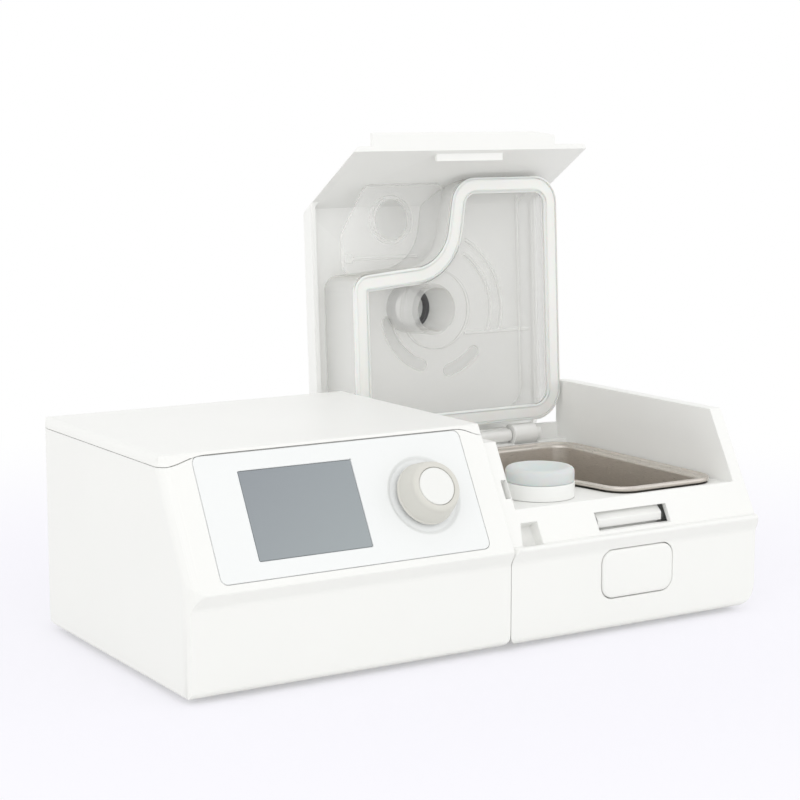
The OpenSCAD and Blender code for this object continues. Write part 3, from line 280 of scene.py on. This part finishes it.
WHITE = (0.915, 0.917, 0.898)
COOL_WHITE = (0.885, 0.9, 0.9)
FINISHES = {
    "body_white": moulded("body_white", WHITE),
    "lid_white": moulded("lid_white", (0.925, 0.927, 0.91), roughness=0.36),
    "fascia": moulded("fascia", COOL_WHITE, roughness=0.33, grain=0.00001),
    "screen": display_glass("screen", (0.29, 0.315, 0.34), (0.35, 0.385, 0.40)),
    "dark_frame": moulded("dark_frame", (0.06, 0.065, 0.07), mottle=0.9),
    "circuit_board": circuit_board("circuit_board", (0.03, 0.16, 0.07)),
    "machined_metal": plain_metal("machined_metal", (0.62, 0.63, 0.64), 0.28),
    "knob_plastic": moulded("knob_plastic", (0.70, 0.69, 0.64), roughness=0.5, grain_scale=1900),
    "cap_plastic": moulded("cap_plastic", (0.87, 0.875, 0.855), roughness=0.45),
    "duct_plastic": moulded("duct_plastic", (0.62, 0.62, 0.6)),
    "soft_rubber": rubber("soft_rubber", (0.11, 0.11, 0.115)),
    "foam": foam("foam", (0.12, 0.12, 0.13)),
    "filter_felt": felt("filter_felt", (0.8, 0.79, 0.72)),
    "jack_plastic": moulded("jack_plastic", (0.03, 0.03, 0.033), mottle=0.9),
    "tank_steel": plain_metal("tank_steel", (0.70, 0.655, 0.60), 0.3, (1, 1, 14), 0.00001, 0.8),
    "heater_aluminium": plain_metal("heater_aluminium", (0.66, 0.66, 0.66), 0.32, (30, 1, 1)),
    "spring_steel": plain_metal("spring_steel", (0.6, 0.6, 0.61), 0.25),
    "port_white": moulded("port_white", (0.91, 0.915, 0.9), roughness=0.36),
    "frosted_silicone": silicone("frosted_silicone", (0.80, 0.835, 0.83), 0.15),
    "gasket_silicone": silicone("gasket_silicone", (0.9, 0.9, 0.875), 0.0, 0.42, 0.15),
    "clear_duct": clear_plastic("clear_duct", (0.95, 0.95, 0.935), (0.80, 0.78, 0.64)),
    "outlet_plastic": moulded("outlet_plastic", (0.85, 0.855, 0.84), roughness=0.36),
}


# ---- Pieces made from the frame's own solids ----

def finish_mesh(obj, angle):
    """Smooth shading, broken where two faces meet at more than the angle in degrees."""
    obj.data.shade_smooth()
    bpy.context.view_layer.objects.active = obj
    with bpy.context.temp_override(object=obj, active_object=obj, selected_objects=[obj],
                                   selected_editable_objects=[obj]):
        bpy.ops.object.shade_smooth_by_angle(angle=math.radians(angle))


def new_piece(name, mesh, slot, body):
    obj = bpy.data.objects.new(name, mesh)
    bpy.context.scene.collection.objects.link(obj)
    mesh.materials.clear()
    mesh.materials.append(FINISHES[slot].material)
    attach(obj, body)
    return obj


# An edge whose round folds a face is narrowed twice, and after that it is left sharp
ROUNDING_TRIES = 7
NARROWED_TRIES = 2
FOLD_REACH = 2.2        # how far a fold's corner may lie from its edge, in radii


def clean_copy(node):
    """A node's mesh with its flat faces joined up, as one bmesh."""
    bm = bmesh.new()
    bm.from_mesh(frame["nodes"][node].data)
    bmesh.ops.remove_doubles(bm, verts=bm.verts, dist=0.002 * MM)
    bmesh.ops.dissolve_limit(bm, angle_limit=math.radians(0.6), verts=bm.verts, edges=bm.edges)
    return bm


def crosses(a, b, c, d):
    """Whether the flat segments a-b and c-d cut each other."""
    def side(p, q, r):
        return (q.x - p.x) * (r.y - p.y) - (q.y - p.y) * (r.x - p.x)
    return side(a, b, c) * side(a, b, d) < 0 and side(c, d, a) * side(c, d, b) < 0


def folded_points(mesh, least):
    """Corners of the faces that fold over themselves, by more than the least area in square metres."""
    mesh.calc_loop_triangles()
    areas = [0.0] * len(mesh.polygons)
    for triangle in mesh.loop_triangles:
        areas[triangle.polygon_index] += triangle.area
    found = []
    for face in mesh.polygons:
        if areas[face.index] - face.area > least:
            corners = [mesh.vertices[v].co.copy() for v in face.vertices]
            flat = face.normal.rotation_difference(Vector((0, 0, 1)))
            spots = [(flat @ corner).xy for corner in corners]
            count = len(spots)
            cut = {k for i in range(count) for j in range(i + 2, count)
                   if crosses(spots[i], spots[(i + 1) % count], spots[j], spots[(j + 1) % count])
                   for k in (i, (i + 1) % count, j, (j + 1) % count)}
            found += [corners[k] for k in cut] or corners
    return found


def settle_normals(obj, broad=15e-6, lean=0.87):
    """Weighted normals, with the corners of broad faces that lean too far set straight again."""
    weigh = obj.modifiers.new("normals", "WEIGHTED_NORMAL")
    weigh.keep_sharp = True
    graph = bpy.context.evaluated_depsgraph_get()
    mesh = bpy.data.meshes.new_from_object(obj.evaluated_get(graph), preserve_all_data_layers=True,
                                           depsgraph=graph)
    obj.modifiers.remove(weigh)
    normals = [corner.vector.copy() for corner in mesh.corner_normals]
    for face in mesh.polygons:
        if face.area > broad:
            for k in face.loop_indices:
                if normals[k].dot(face.normal) < lean:
                    normals[k] = face.normal.copy()
    mesh.normals_split_custom_set(normals)
    obj.data = mesh


def near_any(points, distance):
    """A test of whether a place lies within a distance of any of the points."""
    tree = KDTree(len(points))
    for k, point in enumerate(points):
        tree.insert(point, k)
    tree.balance()
    return lambda place: tree.find(place)[2] < distance


def dress(node, radius=0.4, segments=2, sharp=30, fold=0.4e-6):
    """A copy of a node with its sharp edges rounded over where they have room for it.

    Faces may fold over themselves by no more than the area fold, in square metres."""
    bm = clean_copy(node)
    weight = bm.edges.layers.float.new("bevel_weight_edge")
    for edge in bm.edges:
        if len(edge.link_faces) == 2 and edge.calc_face_angle(0) > math.radians(sharp):
            edge[weight] = 1
    mesh = bpy.data.meshes.new(node + "_skin")
    bm.to_mesh(mesh)
    obj = new_piece(node + "_skin", mesh, SLOT_OF[node], frame["nodes"][node]["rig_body"])
    bevel = obj.modifiers.new("edges", "BEVEL")
    bevel.width = radius * MM
    bevel.segments = segments
    bevel.limit_method = "WEIGHT"
    bevel.use_clamp_overlap = False
    for attempt in range(ROUNDING_TRIES):
        graph = bpy.context.evaluated_depsgraph_get()
        result = bpy.data.meshes.new_from_object(obj.evaluated_get(graph))
        points = folded_points(result, fold)
        if not points:
            break
        folded = near_any(points, FOLD_REACH * radius * MM)
        for vertex in bm.verts:
            if folded(vertex.co):
                for edge in vertex.link_edges:
                    edge[weight] *= 0.5 if attempt < NARROWED_TRIES else 0
        bm.to_mesh(mesh)
    bm.free()
    obj.modifiers.remove(bevel)
    # The round corners stay inside the node's own box
    low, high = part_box(node)
    for vertex in result.vertices:
        vertex.co = [min(max(value, least), most) for value, least, most in zip(vertex.co, low, high)]
    obj.data = result
    finish_mesh(obj, 35)
    settle_normals(obj)
    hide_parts(node)


for node, obj in frame["nodes"].items():
    obj.data.materials.clear()
    obj.data.materials.append(FINISHES[SLOT_OF[node]].material)

for node in ("main_housing", "top_cover", "fascia_panel", "humidifier_housing", "lid_shell",
             "latch_slider", "lid_duct", "port_ring", "display_window", "filter_cap",
             "outlet_tube"):
    dress(node)
dress("lid_gasket", radius=1.1, segments=4, fold=5e-6)


# ---- Pieces made as lathes and lofts ----

def skin_of(node, vertices, faces, angle=35):
    """A piece made here that stands for a node, with its finish and on its body."""
    mesh = bpy.data.meshes.new(node + "_skin")
    mesh.from_pydata(vertices, [], faces)
    mesh.validate()
    bm = bmesh.new()
    bm.from_mesh(mesh)
    bmesh.ops.recalc_face_normals(bm, faces=bm.faces)
    bm.to_mesh(mesh)
    bm.free()
    obj = new_piece(node + "_skin", mesh, SLOT_OF[node], frame["nodes"][node]["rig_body"])
    finish_mesh(obj, angle)
    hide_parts(node)


def loft(rings):
    """Vertices and faces of a closed skin through rings of equally many points, shut at both ends."""
    count = len(rings[0])
    vertices = [point for ring in rings for point in ring]
    faces = [tuple(range(count))[::-1]]
    for start in range(0, count * (len(rings) - 1), count):
        for k in range(count):
            after = (k + 1) % count
            faces.append((start + k, start + after, start + count + after, start + count + k))
    last = count * (len(rings) - 1)
    faces.append(tuple(range(last, last + count)))
    return vertices, faces


def lathe(profile, place, axis, steps=128):
    """Vertices and faces of a profile of (radius, height) in mm, turned about an axis at a place."""
    turn = Vector((0, 0, 1)).rotation_difference(Vector(axis))
    rings = []
    for radius, height in profile:
        ring = []
        for k in range(steps):
            angle = 2 * math.pi * k / steps
            spot = Vector((radius * math.cos(angle), radius * math.sin(angle), height)) * MM
            ring.append(turn @ spot + Vector(place))
        rings.append(ring)
    return loft(rings)


def arc(centre, radius, start, end, steps=6):
    """Points of an arc in a profile, from one angle to another in degrees."""
    angles = [math.radians(start + (end - start) * k / steps) for k in range(steps + 1)]
    return [(centre[0] + radius * math.cos(a), centre[1] + radius * math.sin(a)) for a in angles]


def rounded(corners, radii, depth=0.0, least=1.5, steps=8):
    """An anticlockwise outline in mm with round corners, moved inwards by depth."""
    count = len(corners)
    points = [Vector(corner) for corner in corners]
    moved = []
    for i, point in enumerate(points):
        before = (point - points[i - 1]).normalized()
        after = (points[(i + 1) % count] - point).normalized()
        left = Vector((-before.y - after.y, before.x + after.x))
        moved.append(point + left * depth / (1 + before.dot(after)))
    outline = []
    for i, corner in enumerate(moved):
        back = (moved[i - 1] - corner).normalized()
        on = (moved[(i + 1) % count] - corner).normalized()
        proud = on.cross(back) > 0
        radius = max(radii[i] - depth, least) if proud else radii[i] + depth
        half = back.angle(on) / 2
        centre = corner + (back + on).normalized() * radius / math.sin(half)
        spoke = corner + back * radius / math.tan(half) - centre
        start = math.atan2(spoke.y, spoke.x)
        sweep = (math.pi - 2 * half) * (1 if proud else -1)
        for k in range(steps + 1):
            angle = start + sweep * k / steps
            outline.append((centre.x + radius * math.cos(angle), centre.y + radius * math.sin(angle)))
    return outline


def middle_of(node):
    low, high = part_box(node)
    return (low + high) / 2


def make_tank():
    """The drawn steel tank: a rolled rim, a flange under the gasket, and walls down to its floor."""
    low, high = (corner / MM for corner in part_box("water_tank"))
    port = middle_of("port_ring") / MM
    rim_in = 1.5
    front_start, side_end, inner_x, inner_y = 30, 26.8, 23, 22.8    # from the port's middle
    front_r, back_right_r, side_r, inner_r = 14, 16, 8, 22
    x0, y0, x1, y1 = low.x - rim_in, low.y - rim_in, high.x + rim_in, high.y + rim_in
    corners = [(port.x + front_start, y0), (x1, y0), (x1, y1), (x0, y1), (x0, port.y + side_end),
               (port.x + inner_x, port.y + inner_y)]
    radii = [front_r, front_r, back_right_r, front_r, side_r, inner_r]
    rim, floor = high.z, low.z
    bead_r, flange_in, sheet, fillet_r, bend_r = 1.2, 6.4, 1.2, 5, 1.4
    wall_in = flange_in + 0.2
    # Each step is how far in from the bay's outline, and the height
    path = [(x, floor + z) for x, z in arc((wall_in + fillet_r, fillet_r), fillet_r, 270, 180, 5)]
    path += [(wall_in, rim - 4.5), (wall_in - 0.5, rim - 3.2), (wall_in - 1.4, rim - 2.3)]
    path += arc((rim_in + bead_r, rim - bead_r), bead_r, -60, -330, 12)
    path += [(rim_in + 2 * bead_r + 0.4, rim - 0.9)]
    path += arc((flange_in, rim - 2.3), bend_r, 90, 0, 5)
    path += [(wall_in + sheet + 0.1, floor + 8)]
    path += [(x, floor + z) for x, z in arc((wall_in + 5.4, 5.4), 4.2, 180, 270, 5)]
    rings = [[Vector((x, y, z)) * MM for x, y in rounded(corners, radii, depth)] for depth, z in path]
    skin_of("water_tank", *loft(rings), angle=50)


def make_knob():
    """The knob's tapered skirt and the cap in its top."""
    joint = next(j for j in frame["joints"] if j["name"] == "knob_turn")
    place, axis = joint["pos_m"], joint["axis"]
    foot, height = 0.95, 11.4
    foot_r, top_r, cap_r, bore_r, boss_r = 13.6, 10.2, 8.2, 2.1, 4.5
    foot_edge, top_edge, cap_edge, cap_seat = 0.5, 1.6, 0.5, height - 1.6
    taper, swell, skirt_h = 1.9, 0.35, 7.7
    skirt = [(foot_r - foot_edge - taper * t + swell * math.sin(math.pi * t), foot + 1.2 + skirt_h * t)
             for t in (k / 10 for k in range(11))]
    profile = [(bore_r, foot + 0.1), (boss_r, foot + 0.1), (boss_r, height - 4),
               (foot_r - 3, height - 4.6), (foot_r - 1.8, foot), (foot_r - 0.3, foot)]
    profile += arc((foot_r - foot_edge, foot + foot_edge), foot_edge, -60, 60, 4) + skirt
    profile += arc((top_r - 0.6, height - top_edge), top_edge, 15, 90, 6)
    profile += arc((cap_r + 0.55, height - 0.35), 0.35, 90, 180, 3)
    profile += [(cap_r + 0.2, cap_seat), (bore_r, cap_seat)]
    skin_of("knob", *lathe(profile, place, axis))
    cap = [(0.01, cap_seat + 0.1), (cap_r, cap_seat + 0.1), (cap_r, height - 0.6)]
    cap += arc((cap_r - cap_edge, height - 0.6), cap_edge, 0, 80, 4)
    # The cap's face is very slightly domed
    cap += [(6.4, height + 0.02), (3.4, height + 0.08), (0.01, height + 0.1)]
    skin_of("knob_cap", *lathe(cap, place, axis))


def make_port_cap():
    """The soft dished cap on the air port."""
    low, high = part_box("port_cap")
    middle = middle_of("port_cap")
    radius = (high.x - low.x) / 2 / MM
    top, foot, rim_r = (high.z - low.z) / MM, 2.0, 2.2
    plug_out, plug_in = radius - 1.5, radius - 2.8
    # The underside, the plug that seats in the ring, the rim, and the dished top
    profile = [(0.01, top - 3.7), (radius - 6, top - 3.1), (plug_in, top - 2.6),
               (plug_in, 0.0), (plug_out, 0.0), (plug_out, foot), (radius - 0.3, foot)]
    profile += [(radius, foot + 0.4), (radius, top - rim_r)]
    profile += arc((radius - rim_r, top - rim_r), rim_r, 0, 90, 8)
    profile += [(radius - 3.4, top - 0.1), (radius - 5, top - 0.7), (radius - 7.5, top - 1.5),
                (radius - 10, top - 2.0), (0.01, top - 2.4)]
    skin_of("port_cap", *lathe(profile, (middle.x, middle.y, low.z), (0, 0, 1)), angle=60)


def make_button():
    """The release button: a soft pillow, with the collar behind the wall that keeps it in."""
    low, high = (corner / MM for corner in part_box("release_button"))
    collar = 1.2
    x0, x1, z0, z1 = low.x + collar, high.x - collar, low.z + collar, high.z - collar
    corners = [(x0, z0), (x1, z0), (x1, z1), (x0, z1)]
    corner_r, depth_y, collar_t = 6, high.y - low.y, 1.5
    # Each step is how far in from the button's outline, and how far back from its face
    path = [(-collar, depth_y), (-collar, depth_y - collar_t), (0, depth_y - collar_t)]
    path += arc((1.4, 1.3), 1.3, 180, 255, 6)
    path += [(3, 0.03), (6, 0)]
    rings = [[Vector((x, low.y + back, z)) * MM for x, z in rounded(corners, [corner_r] * 4, depth)]
             for depth, back in path]
    skin_of("release_button", *loft(rings), angle=50)


make_tank()
make_knob()
make_port_cap()
make_button()


# ---- Stage, light and camera ----

def seen_rays(tree):
    """1 for a ray from the camera or from a glossy or clear surface, and 0 for any other."""
    paths = tree.nodes.new("ShaderNodeLightPath")
    seen = paths.outputs["Is Camera Ray"]
    for kind in ("Is Glossy Ray", "Is Transmission Ray"):
        larger = tree.nodes.new("ShaderNodeMath")
        larger.operation = "MAXIMUM"
        tree.links.new(seen, larger.inputs[0])
        tree.links.new(paths.outputs[kind], larger.inputs[1])
        seen = larger.outputs["Value"]
    return seen


def floor_material():
    g = Graph("floor")
    tree = g.tree
    tree.nodes.remove(g.shader)
    plain = g.node("ShaderNodeBsdfDiffuse")
    plain.inputs["Color"].default_value = (0.86, 0.86, 0.86, 1)
    shown = g.node("ShaderNodeBsdfDiffuse")
    shown.inputs["Color"].default_value = (0.93, 0.915, 1.0, 1)
    glow = g.node("ShaderNodeEmission")
    glow.inputs["Color"].default_value = (1, 1, 1, 1)
    glow.inputs["Strength"].default_value = 1
    # Near the object the floor takes its shadow, and further off it is plain white
    coordinates = g.node("ShaderNodeTexCoord")
    reach = g.node("ShaderNodeVectorMath", operation="LENGTH")
    g.link(coordinates.outputs["Object"], reach.inputs[0])
    fade = g.node("ShaderNodeMapRange", interpolation_type="SMOOTHSTEP")
    fade.inputs["From Min"].default_value = 0.2
    fade.inputs["From Max"].default_value = 0.55
    fade.inputs["To Min"].default_value = 0.4
    fade.inputs["To Max"].default_value = 1.0
    g.link(reach.outputs["Value"], fade.inputs["Value"])
    lit = g.node("ShaderNodeMixShader")
    g.link(fade.outputs["Result"], lit.inputs["Fac"])
    g.link(shown.outputs["BSDF"], lit.inputs[1])
    g.link(glow.outputs["Emission"], lit.inputs[2])
    both = g.node("ShaderNodeMixShader")
    g.link(seen_rays(tree), both.inputs["Fac"])
    g.link(plain.outputs["BSDF"], both.inputs[1])
    g.link(lit.outputs["Shader"], both.inputs[2])
    g.link(both.outputs["Shader"], tree.nodes["Material Output"].inputs["Surface"])
    return g.material


def add_floor():
    bpy.ops.mesh.primitive_plane_add(size=12, location=(0, 0, CAD_BOX[0].z))
    floor = bpy.context.object
    floor.name = "floor"
    floor.data.materials.append(floor_material())


def add_world():
    world = bpy.data.worlds.new("studio")
    bpy.context.scene.world = world
    world.use_nodes = True
    tree = world.node_tree
    background = tree.nodes["Background"]
    white = tree.nodes.new("ShaderNodeBackground")
    white.inputs["Strength"].default_value = 1
    white.inputs["Color"].default_value = (1, 1, 1, 1)
    background.inputs["Color"].default_value = (1, 1, 0.995, 1)
    # The studio is brightest near the horizon, so upright faces are as light as level ones
    direction = tree.nodes.new("ShaderNodeTexCoord")
    split = tree.nodes.new("ShaderNodeSeparateXYZ")
    tree.links.new(direction.outputs["Generated"], split.inputs["Vector"])
    height = tree.nodes.new("ShaderNodeMapRange")
    height.inputs["From Max"].default_value = 0.85
    height.inputs["To Min"].default_value = 1.3
    height.inputs["To Max"].default_value = 0.8
    tree.links.new(split.outputs["Z"], height.inputs["Value"])
    tree.links.new(height.outputs["Result"], background.inputs["Strength"])
    mix = tree.nodes.new("ShaderNodeMixShader")
    tree.links.new(seen_rays(tree), mix.inputs["Fac"])
    tree.links.new(background.outputs["Background"], mix.inputs[1])
    tree.links.new(white.outputs["Background"], mix.inputs[2])
    tree.links.new(mix.outputs["Shader"], tree.nodes["World Output"].inputs["Surface"])


def add_light(name, place, target, size, power):
    data = bpy.data.lights.new(name, "AREA")
    data.shape = "RECTANGLE"
    data.size, data.size_y = size
    data.energy = power
    light = bpy.data.objects.new(name, data)
    light.location = place
    light.rotation_euler = (Vector(target) - Vector(place)).to_track_quat("-Z", "Y").to_euler()
    bpy.context.scene.collection.objects.link(light)


def add_camera():
    azimuth, elevation = math.radians(-32.1), math.radians(8.31)
    back = Vector((math.sin(azimuth) * math.cos(elevation), -math.cos(azimuth) * math.cos(elevation),
                   math.sin(elevation)))
    data = bpy.data.cameras.new("camera")
    data.sensor_width = 36
    data.lens = 89.9
    data.shift_x = -0.0114
    data.shift_y = -0.0036
    camera = bpy.data.objects.new("camera", data)
    camera.location = (-0.4709, -0.7801, 0.2315)
    camera.rotation_mode = "QUATERNION"
    camera.rotation_quaternion = (-back).to_track_quat("-Z", "Y")
    bpy.context.scene.collection.objects.link(camera)
    bpy.context.scene.camera = camera


add_floor()
add_world()
middle = (0, 0, 0.08)
add_light("key", (-1.0, -1.3, 1.3), middle, (1.6, 1.2), 4)
add_light("fill", (1.5, -1.1, 0.7), middle, (1.4, 1.4), 2)
add_light("top", (0.1, 0.2, 1.9), middle, (1.6, 1.6), 1)
add_camera()
bpy.context.scene.view_settings.view_transform = "Standard"
